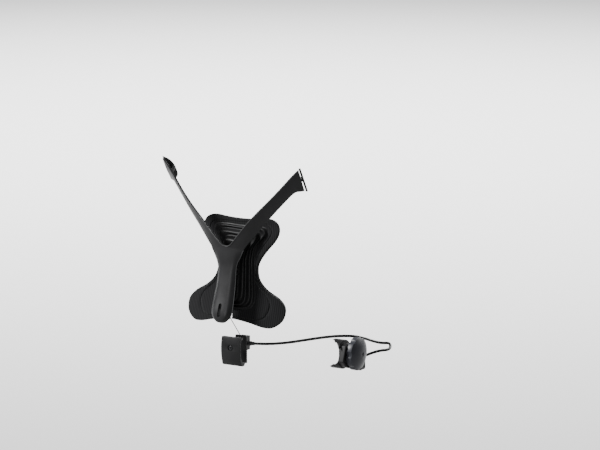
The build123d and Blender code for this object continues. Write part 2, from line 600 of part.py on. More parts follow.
def dial_screw():
    head = along_x(3.4, DIAL_TOP_X - 2.4, DIAL_TOP_X - 0.9, DIAL_Y, DIAL_Z)
    head -= along_x(1.4, DIAL_TOP_X - 1.7, DIAL_TOP_X, DIAL_Y, DIAL_Z)
    return head + along_x(DIAL_SCREW_R, DIAL_TOP_X - 8.5, DIAL_TOP_X - 2.4, DIAL_Y, DIAL_Z)


def build():
    frame = yoke_frame()
    nipple = wire_nipple()
    right_shoe = tip_shoe()
    right_pin = along_x(PIN_R, LUG_X0 - 0.5, LUG_X1 + 5.0, TIP_Y, TIP_Z)
    guide_cap = ferrule(SHEATH_ROUTE[0], SHEATH_ROUTE[1], 13.0)
    case_cap = ferrule(SHEATH_ROUTE[-1], SHEATH_ROUTE[-2], 6.0)
    tube = cable_sheath()
    return {
        "yoke_frame": frame,
        "tip_shoe_right": right_shoe,
        "tip_shoe_left": mirrored(right_shoe),
        "tip_pin_right": right_pin,
        "tip_pin_left": mirrored(right_pin),
        "stem_anchor": stem_anchor(frame),
        "rock_pin": along_x(ROCK_PIN_R, -EAR_X1, EAR_X1, ROCK_Y, ROCK_Z),
        "rock_bumpers": bumpers(frame),
        "wire_nipple": nipple,
        "pull_wire": pull_wire(nipple),
        "pad_carrier": pad_carrier(),
        "pad_cushion": pad_cushion(),
        "rock_bushings": rock_bushings(ROCK_PIN_R + PIN_CLEAR),
        "centre_bracket": centre_bracket(),
        "centre_screw": centre_screw(),
        "bracket_clip": bracket_clip() - guide_cap,
        "cable_sheath": tube,
        "guide_ferrule": guide_cap,
        "case_ferrule": case_cap,
        "actuator_saddle": actuator_saddle() - saddle_screws(),
        "saddle_liner": saddle_liner(),
        "saddle_screws": saddle_screws(),
        "actuator_case": actuator_case(case_cap),
        "case_cover": case_cover() - case_cap,
        "case_screws": case_screws(),
        "spindle": spindle(),
        "retaining_clip": retaining_clip(),
        "cable_spool": cable_spool(),
        "detent_spring": detent_spring(),
        "dial_knob": dial_knob(),
        "dial_screw": dial_screw(),
    }


os.makedirs("parts", exist_ok=True)
for node, shape in build().items():
    export_step(shape, f"parts/{node}.step")
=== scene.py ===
"""The looks of the adjustable back support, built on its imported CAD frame.

Lengths are in millimetres and become metres by mm() or MM. The studio's are in metres.
"""

import json
import math

import bmesh
import bpy
from mathutils import Matrix, Vector


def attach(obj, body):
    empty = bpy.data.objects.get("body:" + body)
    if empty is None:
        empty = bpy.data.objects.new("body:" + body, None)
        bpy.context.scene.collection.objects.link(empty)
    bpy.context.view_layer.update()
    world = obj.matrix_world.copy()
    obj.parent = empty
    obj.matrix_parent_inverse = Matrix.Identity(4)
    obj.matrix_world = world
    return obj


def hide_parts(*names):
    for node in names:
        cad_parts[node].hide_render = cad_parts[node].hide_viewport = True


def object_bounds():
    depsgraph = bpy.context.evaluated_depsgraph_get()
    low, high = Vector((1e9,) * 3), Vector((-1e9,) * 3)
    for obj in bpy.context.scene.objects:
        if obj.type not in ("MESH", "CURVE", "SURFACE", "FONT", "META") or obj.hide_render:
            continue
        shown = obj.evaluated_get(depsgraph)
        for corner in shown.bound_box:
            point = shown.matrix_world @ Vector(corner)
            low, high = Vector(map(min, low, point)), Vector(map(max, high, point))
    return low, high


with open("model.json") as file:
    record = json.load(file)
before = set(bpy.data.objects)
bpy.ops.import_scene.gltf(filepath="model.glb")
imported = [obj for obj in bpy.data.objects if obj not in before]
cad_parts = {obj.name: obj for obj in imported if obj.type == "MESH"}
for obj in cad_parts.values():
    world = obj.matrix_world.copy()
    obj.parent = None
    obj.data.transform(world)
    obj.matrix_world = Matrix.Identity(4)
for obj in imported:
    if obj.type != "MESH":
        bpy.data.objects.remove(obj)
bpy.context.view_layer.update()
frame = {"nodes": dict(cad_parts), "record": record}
NODES = frame["nodes"]
MM = 0.001


def mm(x, y, z):
    return Vector((x, y, z)) * MM


# ---------------------------------------------------------------- camera, floor and light
AZIMUTH, ELEVATION = math.radians(30.0), math.radians(10.1)
AIM = mm(85.4, 92.2, 208.3)
DISTANCE = 4.558
LENS, SENSOR, CLIP_END = 159.0, 36.0, 100.0
FLOOR_DROP, FLOOR_SIZE, FLOOR_SHADE, FLOOR_ROUGH = 0.16, 60, 0.9, 0.9
SKY_STRENGTH = 0.28
# Lamps that light the object and spare the floor: (name, place, size, power). All aim at one point.
LAMPS = [
    ("key", (-2.3, -1.9, 2.8), 1.0, 800),
    ("fill", (0.9, -3.2, 0.9), 1.8, 110),
    ("front", (0.6, 3.2, 1.6), 1.4, 420),
]
LAMPS_AIM = Vector((0, 0, 0.15))
# The lamp over the floor behind the object, which lights the floor alone.
WASH_X, WASH_Y, WASH_HEIGHT, WASH_SIZE, WASH_POWER = -2.1, 3.6, 3.0, 6.0, 820


def make_camera():
    level = math.cos(ELEVATION)
    look = Vector((-math.sin(AZIMUTH) * level, math.cos(AZIMUTH) * level, -math.sin(ELEVATION)))
    camera = bpy.data.objects.new("camera", bpy.data.cameras.new("camera"))
    camera.data.lens = LENS
    camera.data.sensor_width = SENSOR
    camera.data.clip_end = CLIP_END
    camera.location = AIM - look * DISTANCE
    camera.rotation_euler = look.to_track_quat("-Z", "Y").to_euler()
    bpy.context.scene.collection.objects.link(camera)
    bpy.context.scene.camera = camera


def area_light(name, place, target, size, power):
    lamp = bpy.data.lights.new(name, "AREA")
    lamp.size = size
    lamp.energy = power
    holder = bpy.data.objects.new(name, lamp)
    holder.location = place
    holder.rotation_euler = (target - place).to_track_quat("-Z", "Y").to_euler()
    bpy.context.scene.collection.objects.link(holder)
    return holder


def make_studio():
    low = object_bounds()[0].z - FLOOR_DROP
    bpy.ops.mesh.primitive_plane_add(size=FLOOR_SIZE, location=(0, 0, low))
    floor = bpy.context.object
    floor.name = "floor"
    floor.data.materials.append(plain("floor_white", (FLOOR_SHADE,) * 3, FLOOR_ROUGH))
    world = bpy.data.worlds.new("studio")
    world.use_nodes = True
    sky = world.node_tree.nodes["Background"]
    sky.inputs["Color"].default_value = (1.0, 1.0, 1.0, 1)
    sky.inputs["Strength"].default_value = SKY_STRENGTH
    bpy.context.scene.world = world
    spared = bpy.data.collections.new("spared_by_the_lamps")
    spared.objects.link(floor)
    spared.collection_objects[0].light_linking.link_state = "EXCLUDE"
    for name, place, size, power in LAMPS:
        lamp = area_light(name, Vector(place), LAMPS_AIM, size, power)
        lamp.light_linking.receiver_collection = spared
    behind = Vector((WASH_X, WASH_Y, low))
    wash = area_light("floor_wash", behind + Vector((0, 0, WASH_HEIGHT)), behind, WASH_SIZE, WASH_POWER)
    alone = bpy.data.collections.new("lit_by_the_wash")
    alone.objects.link(floor)
    wash.light_linking.receiver_collection = alone


# ---------------------------------------------------------------- materials
def shader(name, rough, specular=0.1):
    material = bpy.data.materials.new(name)
    material.use_nodes = True
    tree = material.node_tree
    surface = tree.nodes["Principled BSDF"]
    surface.inputs["Specular IOR Level"].default_value = specular
    surface.inputs["Roughness"].default_value = rough
    return material, tree, surface


def plain(name, colour, rough):
    material, _, surface = shader(name, rough)
    surface.inputs["Base Color"].default_value = (*colour, 1)
    return material


def add(tree, kind, **values):
    node = tree.nodes.new(kind)
    for key, value in values.items():
        setattr(node, key, value)
    return node


def coords(tree, scale=(1, 1, 1)):
    source = add(tree, "ShaderNodeTexCoord")
    place = add(tree, "ShaderNodeMapping")
    place.inputs["Scale"].default_value = scale
    tree.links.new(source.outputs["Object"], place.inputs["Vector"])
    return place.outputs["Vector"]


def noise(tree, vector, scale, detail=3.0, rough=0.5):
    node = add(tree, "ShaderNodeTexNoise")
    node.inputs["Scale"].default_value = scale
    node.inputs["Detail"].default_value = detail
    node.inputs["Roughness"].default_value = rough
    tree.links.new(vector, node.inputs["Vector"])
    return node.outputs["Fac"]


def spread(tree, value, low, high, low_from=0.3, high_from=0.7):
    node = add(tree, "ShaderNodeMapRange")
    node.inputs["From Min"].default_value = low_from
    node.inputs["From Max"].default_value = high_from
    node.inputs["To Min"].default_value = low
    node.inputs["To Max"].default_value = high
    tree.links.new(value, node.inputs["Value"])
    return node.outputs["Result"]


def two_shades(tree, value, dark, light, low=0.35, high=0.65):
    ramp = add(tree, "ShaderNodeValToRGB")
    ramp.color_ramp.elements[0].position = low
    ramp.color_ramp.elements[0].color = (*dark, 1)
    ramp.color_ramp.elements[1].position = high
    ramp.color_ramp.elements[1].color = (*light, 1)
    tree.links.new(value, ramp.inputs["Fac"])
    return ramp.outputs["Color"]


def bump(tree, height, strength, distance, under=None):
    node = add(tree, "ShaderNodeBump")
    node.inputs["Strength"].default_value = strength
    node.inputs["Distance"].default_value = distance
    tree.links.new(height, node.inputs["Height"])
    if under is not None:
        tree.links.new(under, node.inputs["Normal"])
    return node.outputs["Normal"]


def moulded(name, dark, light, rough, grain=1500.0, grain_depth=0.00006, specular=0.1):
    """Moulded plastic: fine spark-eroded grain, slow changes of shade and roughness."""
    material, tree, surface = shader(name, rough, specular)
    at = coords(tree)
    slow = noise(tree, at, 28.0, 4.0)
    fine = noise(tree, at, grain, 2.0, 0.6)
    tree.links.new(two_shades(tree, slow, dark, light), surface.inputs["Base Color"])
    tree.links.new(spread(tree, slow, rough - 0.05, rough + 0.07), surface.inputs["Roughness"])
    tree.links.new(bump(tree, fine, 0.35, grain_depth), surface.inputs["Normal"])
    return material


def waves(tree, vector, direction, pitch):
    """Sine bands, their pitch in millimetres."""
    node = add(tree, "ShaderNodeTexWave", wave_type="BANDS", bands_direction=direction, wave_profile="SIN")
    node.inputs["Scale"].default_value = 2 * math.pi / (20 * pitch * MM)
    tree.links.new(vector, node.inputs["Vector"])
    return node


def knit(name, dark, light, rib=3.6, stitch=1.8, rough=0.85, specular=0.05):
    """Ribbed knit: ribs that run up the piece, stitches across them, loose fibres over both."""
    material, tree, surface = shader(name, rough, specular)
    at = coords(tree)
    ribs = waves(tree, at, "X", rib)
    ribs.inputs["Distortion"].default_value = 0.5
    ribs.inputs["Detail"].default_value = 1.0
    rows = waves(tree, at, "Z", stitch)
    rows.inputs["Distortion"].default_value = 0.8
    woven = add(tree, "ShaderNodeMath", operation="MULTIPLY_ADD")
    woven.inputs[1].default_value = 0.35
    tree.links.new(rows.outputs["Fac"], woven.inputs[0])
    tree.links.new(ribs.outputs["Fac"], woven.inputs[2])
    fibre = noise(tree, at, 2600.0, 3.0, 0.65)
    patches = noise(tree, coords(tree, (1.6, 1.6, 0.5)), 55.0, 3.0)
    both = add(tree, "ShaderNodeMath", operation="MULTIPLY_ADD")
    both.inputs[1].default_value = 0.6
    tree.links.new(patches, both.inputs[0])
    tree.links.new(woven.outputs["Value"], both.inputs[2])
    shades = two_shades(tree, both.outputs["Value"], dark, light, 0.3, 1.5)
    tree.links.new(shades, surface.inputs["Base Color"])
    threads = bump(tree, woven.outputs["Value"], 0.55, 0.0005)
    tree.links.new(bump(tree, fibre, 0.25, 0.00015, threads), surface.inputs["Normal"])
    surface.inputs["Sheen Weight"].default_value = 0.06
    surface.inputs["Sheen Roughness"].default_value = 0.5
    return material


def metal(name, dark, light, rough):
    """Dark oxide steel, faintly mottled."""
    material, tree, surface = shader(name, rough)
    at = coords(tree)
    slow = noise(tree, at, 180.0, 4.0)
    tree.links.new(two_shades(tree, slow, dark, light), surface.inputs["Base Color"])
    tree.links.new(spread(tree, slow, rough - 0.06, rough + 0.1), surface.inputs["Roughness"])
    tree.links.new(bump(tree, noise(tree, at, 2200.0, 2.0), 0.2, 0.00003), surface.inputs["Normal"])
    surface.inputs["Metallic"].default_value = 1.0
    return material


def stranded(name, dark, light, rough, strand=0.9):
    """Twisted fine wire, seen as slanting bands."""
    material, tree, surface = shader(name, rough)
    lay = waves(tree, coords(tree), "DIAGONAL", strand)
    tree.links.new(two_shades(tree, lay.outputs["Fac"], dark, light, 0.2, 0.8), surface.inputs["Base Color"])
    tree.links.new(bump(tree, lay.outputs["Fac"], 0.6, 0.0002), surface.inputs["Normal"])
    surface.inputs["Metallic"].default_value = 0.2
    return material


# Moulded plastics: (name, dark shade, light shade, roughness, other values of moulded).
MOULDINGS = [
    ("moulded_black", (0.0068, 0.0068, 0.0071), (0.0095, 0.0095, 0.0099), 0.42, {}),
    # the lip's moulding, lighter than moulded_black: a painted highlight along the raised lip, glossier too
    ("lip_painted_highlight", (0.02, 0.02, 0.021), (0.03, 0.03, 0.031), 0.3, {}),
    # the carrier's black is darker than the other mouldings: painted shade behind the stem, over the part's
    # own black
    ("carrier_black", (0.002, 0.002, 0.0021), (0.0035, 0.0035, 0.0037), 0.44, {"specular": 0.075}),
    ("bracket_black", (0.0038, 0.0038, 0.004), (0.006, 0.006, 0.0063), 0.48, {}),
    # the knob's moulding is lighter and bluer than the others: a painted sheen on the knob's face
    (
        "knob_black", (0.011, 0.0116, 0.0138), (0.016, 0.0168, 0.02), 0.36,
        {"grain": 900.0, "grain_depth": 0.00004},
    ),
    ("nylon_black", (0.012, 0.012, 0.0125), (0.018, 0.018, 0.0185), 0.42, {}),
    ("rubber_black", (0.01, 0.01, 0.01), (0.017, 0.017, 0.017), 0.75, {}),
    (
        "sheath_black", (0.003, 0.003, 0.0033), (0.005, 0.005, 0.0053), 0.5,
        {"grain": 700.0, "grain_depth": 0.00003},
    ),
]


def make_materials():
    made = {row[0]: moulded(*row[:4], **row[4]) for row in MOULDINGS}
    made["pad_fabric"] = knit("pad_fabric", (0.0006, 0.0006, 0.0007), (0.0032, 0.0032, 0.0035))
    made["dark_steel"] = metal("dark_steel", (0.02, 0.02, 0.021), (0.04, 0.04, 0.042), 0.42)
    made["wire_steel"] = stranded("wire_steel", (0.004, 0.004, 0.0043), (0.012, 0.012, 0.0125), 0.6)
    return made


# ---------------------------------------------------------------- mesh helpers
def new_object(name, mesh):
    piece = bpy.data.objects.new(name, mesh)
    bpy.context.scene.collection.objects.link(piece)
    return piece


def from_faces(name, points, faces):
    mesh = bpy.data.meshes.new(name)
    mesh.from_pydata([tuple(p) for p in points], [], faces)
    form = bmesh.new()
    form.from_mesh(mesh)
    bmesh.ops.recalc_face_normals(form, faces=form.faces)
    form.to_mesh(mesh)
    form.free()
    return new_object(name, mesh)


def applied(piece):
    """The piece with its modifiers made part of its mesh."""
    bpy.context.view_layer.update()
    graph = bpy.context.evaluated_depsgraph_get()
    mesh = bpy.data.meshes.new_from_object(piece.evaluated_get(graph))
    piece.modifiers.clear()
    old = piece.data
    piece.data = mesh
    bpy.data.meshes.remove(old)
    return piece


def modifier(piece, kind, **values):
    made = piece.modifiers.new(kind.lower(), kind)
    for key, value in values.items():
        setattr(made, key, value)


def bevelled(piece, width, segments, angle, **values):
    modifier(
        piece, "BEVEL", width=width * MM, segments=segments, limit_method="ANGLE",
        angle_limit=math.radians(angle), **values,
    )


def smooth(piece, angle=None):
    for face in piece.data.polygons:
        face.use_smooth = True
    if angle is not None:
        piece.data.set_sharp_from_angle(angle=math.radians(angle))


def join(pieces, name):
    """One object from several, each an island of its mesh."""
    form = bmesh.new()
    for piece in pieces:
        form.from_mesh(piece.data)
    mesh = bpy.data.meshes.new(name)
    form.to_mesh(mesh)
    form.free()
    for piece in pieces:
        bpy.data.objects.remove(piece)
    return new_object(name, mesh)


def prism(name, near, far):
    """A closed solid between two equal outlines."""
    count = len(near)
    faces = [tuple(range(count)), tuple(range(2 * count - 1, count - 1, -1))]
    faces += [(k, (k + 1) % count, count + (k + 1) % count, count + k) for k in range(count)]
    return from_faces(name, near + far, faces)


def plate(name, outline, x0, x1, soft):
    """A flat piece with an outline in (y, z), from x0 to x1, its edges softened."""
    near, far = ([mm(x, y, z) for y, z in outline] for x in (x0, x1))
    piece = prism(name, near, far)
    bevelled(piece, soft, 3, 40)
    return applied(piece)


def softened(node, width, angle=32):
    """A copy of a CAD node with its sharp edges rounded, to take the light as a moulding does."""
    mesh = NODES[node].data.copy()
    form = bmesh.new()
    form.from_mesh(mesh)
    bmesh.ops.remove_doubles(form, verts=form.verts, dist=0.002 * MM)
    bmesh.ops.dissolve_limit(form, angle_limit=math.radians(1.0), verts=form.verts, edges=form.edges)
    form.to_mesh(mesh)
    form.free()
    mesh.materials.clear()
    piece = new_object(node + "_form", mesh)
    if mesh.has_custom_normals:
        with bpy.context.temp_override(object=piece, active_object=piece, selected_objects=[piece]):
            bpy.ops.mesh.customdata_custom_splitnormals_clear()
    bevelled(piece, width, 2, angle, harden_normals=False, use_clamp_overlap=True)
    piece = applied(piece)
    smooth(piece, 40)
    return piece


def finish_piece(piece, body, slot, *nodes):
    """Dresses a piece, hides the CAD nodes that it stands for and sets what it rides on."""
    piece.data.materials.clear()
    piece.data.materials.append(MATERIALS[slot])
    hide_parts(*nodes)
    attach(piece, body)
    return piece


def tube(name, route, radius, order=3, along=10, around=6):
    """A round tube on a smooth line; along and around are its steps."""
    curve = bpy.data.curves.new(name, "CURVE")
    curve.dimensions = "3D"
    curve.resolution_u = along
    curve.bevel_depth = radius * MM
    curve.bevel_resolution = around
    curve.use_fill_caps = True
    spline = curve.splines.new("NURBS")
    spline.points.add(len(route) - 1)
    for point, place in zip(spline.points, route):
        point.co = (*mm(*place), 1)
    spline.order_u = order
    spline.use_endpoint_u = True
    return new_object(name, curve)


# ---------------------------------------------------------------- yoke
# Stem rows of the rear surface, bottom to top: (half width, edge y, crown y, z).
STEM_ROWS = [
    (4.0, -30.6, -31.0, 49.9), (8.5, -30.8, -33.6, 50.9), (12.5, -30.4, -36.2, 53.6),
    (16.4, -29.5, -37.6, 57.6), (19.4, -28.4, -37.9, 63.0), (20.6, -26.2, -36.4, 70.5),
    (20.3, -22.4, -32.0, 82.0), (19.2, -15.8, -24.5, 102.0), (18.0, -10.4, -18.6, 122.0),
    (17.2, -8.2, -14.6, 142.0), (20.2, -7.6, -12.9, 153.0),
]
# Rows of the right half, from the centre line out, where the stem opens: (inner point, outer point).
FORK_ROWS = [
    ((0.0, -12.9, 163.0), (24.6, -6.2, 160.6)), ((0.0, -13.2, 171.0), (27.6, -6.6, 167.0)),
    ((0.0, -13.4, 177.2), (29.6, -6.8, 171.2)), ((0.0, -13.4, 180.0), (31.5, -6.7, 174.6)),
]
# Rows of the right arm, from its root to its fan: (inner point, outer point).
ARM_ROWS = [
    ((6.2, -13.9, 181.3), (33.6, -6.6, 178.0)), ((12.2, -14.8, 186.2), (37.4, -6.4, 182.8)),
    ((22.6, -16.1, 198.2), (46.0, -4.9, 193.6)), ((35.5, -17.0, 213.5), (55.6, -2.6, 205.0)),
    ((50.8, -18.0, 230.0), (66.8, -0.5, 218.2)), ((69.0, -16.4, 248.0), (81.6, 1.7, 235.4)),
    ((86.8, -12.2, 266.0), (97.5, 6.8, 253.5)), ((103.0, -7.2, 284.0), (112.5, 11.3, 270.5)),
    ((114.4, -3.9, 297.3), (121.3, 14.8, 279.5)), ((122.3, -2.2, 306.2), (126.3, 18.6, 279.6)),
    ((128.2, -0.8, 312.6), (130.4, 21.8, 280.1)), ((136.4, 0.6, 320.2), (134.9, 25.6, 281.4)),
]
# Each row's points as shares of its width, and how far the stem has fallen from its crown at each.
SHARES = [0.0, 0.25, 0.46, 0.61, 0.73, 0.88, 1.0]
STEM_FALL = [0.0, 0.02, 0.075, 0.18, 0.35, 0.7, 1.0]
WALL, YOKE_EDGE, ARM_BULGE = 3.2, 0.55, 1.2
BEAD_R, BEAD_FIRST_ROW = 0.55, 3
SHOE_POINT, SHOE_NORMAL = Vector((137.5, 16.0, 302.0)), Vector((0.806, 0.508, 0.305)).normalized()
RAIL = Vector((0, -0.515, 0.857)).normalized()
# From a shoe's outer face to its fan: the shoe's 3.5 mm and a gap for the swing.
FAN_GAP, FAN_GAP_TAPER = 4.65, 48.0
SLOT_LOW_Z, SLOT_HIGH_Z, SLOT_WIDTH, SLOT_Y0, SLOT_Y1 = 61.0, 84.0, 6.0, -60.0, -20.0
EAR_X0, EAR_X1, EAR_R, EAR_REACH, ROCK_Y, ROCK_Z = 12.0, 15.5, 6.5, 9.5, -1.0, 136.0
# The barrel's ends lie just behind the faces of its two sleeves, and its root is sunk in the spine.
BARREL_R, BARREL_HALF, BARREL_SUNK = 5.5, EAR_X0 - 0.7, 2.0
TIP_Y, TIP_Z, LUG_X0, LUG_X1, LUG_R, LUG_REACH = 18.0, 302.0, 122.5, 126.5, 4.6, 11.4
LUG_LEAN = math.atan2(-0.543, -0.84)
LUG_STEPS, LUG_EDGE = 12, 0.5
SMOOTH_ANGLE = 38


def mirrored(p):
    return Vector((-p.x, p.y, p.z))


def stem_row(half, edge_y, crown_y, z):
    """Half of the stem's arch from its crown out: a broad face, then a steep side."""
    out = []
    for share, fall in zip(SHARES, STEM_FALL):
        out.append(Vector((half * share, crown_y + (edge_y - crown_y) * fall, z)))
    return out


def blade_row(inner, outer, ahead):
    """A row across an arm, bowed to the rear, square to the way the arm runs ahead."""
    a, b = Vector(inner), Vector(outer)
    across = (b - a).normalized()
    out = across.cross((ahead - across * ahead.dot(across)).normalized())
    if out.y > 0:
        out = -out
    return [a.lerp(b, share) + out * ARM_BULGE * 4 * share * (1 - share) for share in SHARES]


def yoke_rows():
    """The rows of the rear surface's right half, the fork's blended from the stem's to the arms'."""
    rows = [stem_row(*row) for row in STEM_ROWS]
    pairs = FORK_ROWS + ARM_ROWS
    middles = [(Vector(a) + Vector(b)) / 2 for a, b in pairs]
    for k, (inner, outer) in enumerate(pairs):
        ahead = middles[min(k + 1, len(pairs) - 1)] - middles[max(k - 1, 0)]
        blade = blade_row(inner, outer, ahead)
        if k < len(FORK_ROWS):
            arch = stem_row(outer[0], outer[1], inner[1], inner[2])
            for j, share in enumerate(SHARES):
                arch[j].z = inner[2] + (outer[2] - inner[2]) * share
            mix = k / len(FORK_ROWS)
            blade = [p.lerp(q, mix) for p, q in zip(arch, blade)]
        rows.append(blade)
    return rows


def yoke_sheet():
    """The yoke's rear surface: one sheet that splits at the notch into two arms."""
    rows = yoke_rows()
    shared = len(STEM_ROWS) + len(FORK_ROWS)
    points, right, left = [], [], []
    for k, row in enumerate(rows):
        index = []
        for p in row:
            index.append(len(points))
            points.append(p * MM)
        other = []
        for j, p in enumerate(row):
            if j == 0 and k < shared:
                other.append(index[0])
                continue
            other.append(len(points))
            points.append(mirrored(p) * MM)
        right.append(index)
        left.append(other)
    faces = []
    for side in (right, left):
        for low, high in zip(side, side[1:]):
            for j in range(len(SHARES) - 1):
                faces.append((low[j], low[j + 1], high[j + 1], high[j]))
    return from_faces("yoke_form", points, faces)


def capsule(name, width, low, high, y0, y1):
    """An upright slot's cutter."""
    radius, steps = width / 2, 12
    outline = []
    for k in range(steps + 1):
        turn = math.pi * k / steps
        outline.append((radius * math.cos(turn), high - radius + radius * math.sin(turn)))
    for k in range(steps + 1):
        turn = math.pi * (1 + k / steps)
        outline.append((radius * math.cos(turn), low + radius + radius * math.sin(turn)))
    near, far = ([mm(x, y, z) for x, z in outline] for y in (y0, y1))
    return prism(name, near, far)


def rounded_lug(name, x0, x1, centre_y, centre_z, radius, reach, lean):
    """An ear: a half round about the pin and a neck that runs back by reach at the angle lean."""
    outline = []
    for k in range(LUG_STEPS + 1):
        turn = lean - math.pi / 2 - math.pi * k / LUG_STEPS
        outline.append((centre_y + radius * math.cos(turn), centre_z + radius * math.sin(turn)))
    for side in (1, -1):
        y = centre_y + reach * math.cos(lean) - side * radius * math.sin(lean)
        z = centre_z + reach * math.sin(lean) + side * radius * math.cos(lean)
        outline.append((y, z))
    return plate(name, outline, x0, x1, LUG_EDGE)


def trim_tips(mesh):
    """Cuts both fans along planes that lie just inside the shoes."""
    form = bmesh.new()
    form.from_mesh(mesh)
    for side in (1, -1):
        mirror = Matrix.Diagonal((side, 1, 1))
        point = mirror @ (SHOE_POINT - SHOE_NORMAL * FAN_GAP)
        normal = mirror @ (SHOE_NORMAL - RAIL / FAN_GAP_TAPER)
        whole = form.verts[:] + form.edges[:] + form.faces[:]
        cut = bmesh.ops.bisect_plane(
            form, geom=whole, plane_co=point * MM, plane_no=normal, clear_outer=True
        )
        rim = [e for e in cut["geom_cut"] if isinstance(e, bmesh.types.BMEdge)]
        bmesh.ops.holes_fill(form, edges=rim, sides=0)
    form.to_mesh(mesh)
    form.free()


def make_beads():
    """The raised lip along the arms' upper edges, through the notch, and down the stem's sides."""
    rows = yoke_rows()
    shared = len(STEM_ROWS) + len(FORK_ROWS)
    upper = [row[0] for row in rows[shared - 1:-1]]
    side = [row[-1] for row in rows[BEAD_FIRST_ROW:shared]]
    upper_left = [mirrored(p) for p in reversed(upper)]
    lines = [upper_left[:-1] + upper, side, [mirrored(p) for p in side]]
    for name, line in zip(("bead_upper", "bead_right", "bead_left"), lines):
        bead = tube(name, line, BEAD_R)
        # the lip takes a lighter moulding than the yoke: a painted highlight along its edges
        bead.data.materials.append(MATERIALS["lip_painted_highlight"])
        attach(bead, "yoke")


def make_yoke():
    """The yoke: the sheet made thick, cut by the wire's slot, with its ears and lugs."""
    sheet = yoke_sheet()
    if sum(f.normal.y for f in sheet.data.polygons) > 0:
        sheet.data.flip_normals()
    modifier(
        sheet, "SOLIDIFY", thickness=WALL * MM, offset=-1.0, use_even_offset=True, use_quality_normals=True
    )
    bevelled(sheet, YOKE_EDGE, 2, 50)
    modifier(sheet, "SUBSURF", levels=2, render_levels=2)
    applied(sheet)
    cutter = capsule("slot_cutter", SLOT_WIDTH, SLOT_LOW_Z, SLOT_HIGH_Z, SLOT_Y0, SLOT_Y1)
    modifier(sheet, "BOOLEAN", operation="DIFFERENCE", solver="EXACT", object=cutter)
    applied(sheet)
    bpy.data.objects.remove(cutter)
    parts = [sheet]
    for side in (-1, 1):
        x0, x1 = sorted((side * EAR_X0, side * EAR_X1))
        parts.append(rounded_lug("ear", x0, x1, ROCK_Y, ROCK_Z, EAR_R, EAR_REACH, math.pi))
        x0, x1 = sorted((side * LUG_X0, side * LUG_X1))
        parts.append(rounded_lug("lug", x0, x1, TIP_Y, TIP_Z, LUG_R, LUG_REACH, LUG_LEAN))
    yoke = join(parts, "yoke")
    trim_tips(yoke.data)
    smooth(yoke, SMOOTH_ANGLE)
    finish_piece(yoke, "yoke", "moulded_black", "yoke_frame")


# ---------------------------------------------------------------- pad
# The pad's half outline (x, z), top to bottom.
PAD_OUTLINE = [
    (0.0, 220.5), (30.0, 221.8), (54.0, 224.0), (69.5, 218.5), (75.5, 205.0), (69.0, 188.0),
    (52.5, 168.0), (41.5, 150.0), (39.5, 136.0), (45.0, 118.0), (62.0, 101.5), (84.0, 89.0),
    (96.5, 74.0), (95.0, 55.0), (80.0, 42.0), (62.0, 41.0), (34.0, 47.0), (0.0, 51.0),
]
PAD_TOP_Z, PAD_LOW_Z = 221.0, 51.0
PAD_LOW_Y, PAD_LEAN, PAD_BELLY = 3.1, 0.2147, 3.0
# How far the lobes sweep forwards with the square of x, and where that changes from low to top.
LOBE_SWEEP_LOW, LOBE_SWEEP_TOP = 0.0014, 0.0002
SWEEP_LOW_Z, SWEEP_SPAN = 95.0, 105.0
FLANGE, FLANGE_LIP = 2.6, 0.1
# The wire's notch in the flange's lower edge, narrower and lower than the CAD's.
WIRE_NOTCH_HALF, WIRE_NOTCH_Z = 1.4, 60.0
# The carrier's spine behind the flange, as a half outline (x, z), and the heights that it spans.
SPINE_OUTLINE = [
    (0.0, 208.0), (28.0, 209.0), (46.0, 207.5), (52.5, 201.0), (47.0, 192.0), (38.5, 183.0),
    (32.8, 173.0), (30.8, 157.0), (33.0, 136.0), (36.2, 112.0), (39.2, 92.0), (38.6, 80.5),
    (32.5, 72.5), (20.0, 70.0), (0.0, 70.0),
]
SPINE_TOP_Z, SPINE_LOW_Z = 208.0, 70.0
# Rings from the spine's foot to its middle: (share of its width, low z, high z, height behind).
SPINE_RINGS = [
    (1.03, 68.6, 209.6, -0.2), (1.0, 70.0, 208.0, 0.2), (0.985, 70.6, 207.4, 3.4),
    (0.96, 71.4, 206.6, 4.5), (0.92, 72.4, 205.4, 4.6), (0.88, 73.6, 204.2, 3.4),
    (0.8, 75.2, 202.6, 2.4), (0.75, 76.0, 201.6, 3.0), (0.73, 76.5, 199.8, 7.4),
    (0.715, 77.2, 198.0, 10.2), (0.69, 78.0, 196.4, 11.0), (0.65, 79.2, 195.0, 10.6),
    (0.6, 80.8, 193.6, 8.8), (0.5, 83.4, 191.4, 8.4), (0.46, 84.4, 190.2, 9.6),
    (0.44, 85.0, 188.2, 13.8), (0.425, 85.8, 186.2, 17.0), (0.4, 86.8, 184.0, 18.0),
    (0.3, 91.0, 180.0, 18.0), (0.15, 100.0, 172.0, 18.0), (0.02, 120.0, 158.0, 18.0),
]
# The raised panel inside the flange's border, outlined by a groove, as a half outline (x, z).
PANEL_OUTLINE = [
    (0.0, 214.5), (28.0, 215.0), (48.0, 214.5), (58.5, 209.0), (61.0, 199.5), (54.5, 187.0), (44.0, 172.0),
    (37.0, 155.0), (35.6, 136.0), (39.0, 120.0), (45.0, 109.5), (55.0, 99.5), (64.5, 89.5), (69.0, 78.5),
    (67.0, 66.5), (58.5, 55.5), (40.0, 52.5), (0.0, 55.0),
]
# Rings near the rim and over the groove: (inset from the outline in mm, height behind).
RIM_RINGS = [(0.0, -0.5), (0.4, 0.1), (1.4, 0.5), (2.6, 0.6)]
GROOVE_RINGS = [(-1.0, 0.6), (-0.5, 0.25), (0.0, -1.0), (0.5, 0.2), (1.0, 0.6)]
BORDER_STEPS, FIELD_STEPS, RING_POINTS, OUTLINE_STEPS = 4, 7, 288, 10
